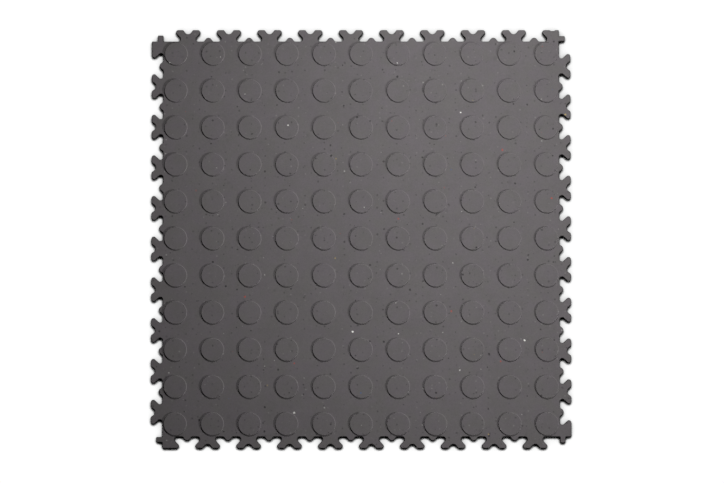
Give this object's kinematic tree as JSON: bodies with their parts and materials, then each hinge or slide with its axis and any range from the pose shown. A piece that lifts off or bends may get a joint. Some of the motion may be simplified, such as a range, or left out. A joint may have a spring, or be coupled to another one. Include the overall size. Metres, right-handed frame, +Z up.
{
  "type": "interlocking floor tile",
  "caption": "Square interlocking PVC floor tile with dovetail teeth along every edge, small corner tabs and a raised coin tread, for garage and workshop floors.",
  "frame": {"origin": "middle of the underside, where the tile lies on the floor", "axes": "+Z up out of the tread; +X and +Y along the edges, +Y towards the edge that is at the top of the picture"},
  "size_m": [0.51, 0.51, 0.007],
  "materials": {
    "pvc": "satin"
  },
  "bodies": {
    "root": {"tile": "pvc"}
  },
  "joints": []
}
